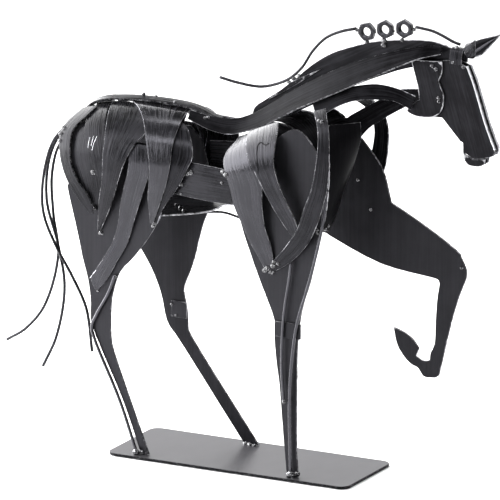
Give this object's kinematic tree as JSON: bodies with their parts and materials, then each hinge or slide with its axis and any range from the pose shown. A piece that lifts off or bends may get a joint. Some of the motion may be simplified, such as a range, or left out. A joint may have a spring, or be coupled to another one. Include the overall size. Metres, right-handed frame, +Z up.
{
  "type": "scrap metal horse sculpture",
  "caption": "Prancing horse sculpture welded from bent steel strips, flat leg plates, wire and hex nuts, painted black, on a flat rectangular base plate.",
  "frame": {"origin": "centre of the base plate's underside", "axes": "+Z up, +X the way the horse faces, +Y to the horse's left"},
  "size_m": [0.3339, 0.072, 0.2859],
  "materials": {
    "base_paint": "satin black powder coat",
    "sheet_paint": "satin black paint on flat sheet, worn bare at the cut edges",
    "strip_paint": "semi-gloss black paint with brush strokes along the strips, worn bare at the edges",
    "wire_paint": "semi-gloss black paint on round wire",
    "nut_paint": "semi-gloss black paint, worn at the corners"
  },
  "bodies": {
    "root": {"base_plate": "base_paint", "hind_leg_right": "sheet_paint", "hind_leg_left": "sheet_paint", "hind_rod_right": "wire_paint", "hock_tab_left": "sheet_paint", "fore_leg_right": "sheet_paint", "fore_leg_left": "sheet_paint", "knee_band_right": "sheet_paint", "fore_rod_rear": "wire_paint", "fore_rod_front": "wire_paint", "flank_band_right": "strip_paint", "flank_band_left": "strip_paint", "belly_band": "strip_paint", "belly_wire": "wire_paint", "spine_strip": "strip_paint", "rump_strip_right": "strip_paint", "rump_strip_left": "strip_paint", "hip_backing_plate_right": "strip_paint", "hip_backing_plate_left": "strip_paint", "hip_strip_1_right": "strip_paint", "hip_strip_1_left": "strip_paint", "hip_strip_2_right": "strip_paint", "hip_strip_2_left": "strip_paint", "hip_strip_3_right": "strip_paint", "hip_strip_3_left": "strip_paint", "hip_strip_4_right": "strip_paint", "hip_strip_4_left": "strip_paint", "hip_strip_5_right": "strip_paint", "hip_strip_5_left": "strip_paint", "shoulder_strip_1_right": "strip_paint", "shoulder_strip_1_left": "strip_paint", "shoulder_strip_2_right": "strip_paint", "shoulder_strip_2_left": "strip_paint", "shoulder_strip_3_right": "strip_paint", "shoulder_strip_3_left": "strip_paint", "chest_plate": "strip_paint", "neck_band_right": "strip_paint", "neck_band_left": "strip_paint", "crest_plate": "sheet_paint", "crest_strip": "strip_paint", "throat_strip_right": "strip_paint", "throat_strip_left": "strip_paint", "head_side_right": "sheet_paint", "head_side_left": "sheet_paint", "bridge_strip": "strip_paint", "cheek_plate_right": "sheet_paint", "cheek_plate_left": "sheet_paint", "poll_saddle": "strip_paint", "ear_right": "strip_paint", "ear_left": "strip_paint", "mane_wire_rear": "wire_paint", "mane_wire_front": "wire_paint", "mane_nut_rear": "nut_paint", "mane_nut_middle": "nut_paint", "mane_nut_front": "nut_paint", "tail_wire_1": "wire_paint", "tail_wire_2": "wire_paint", "tail_wire_3": "wire_paint"}
  },
  "joints": []
}
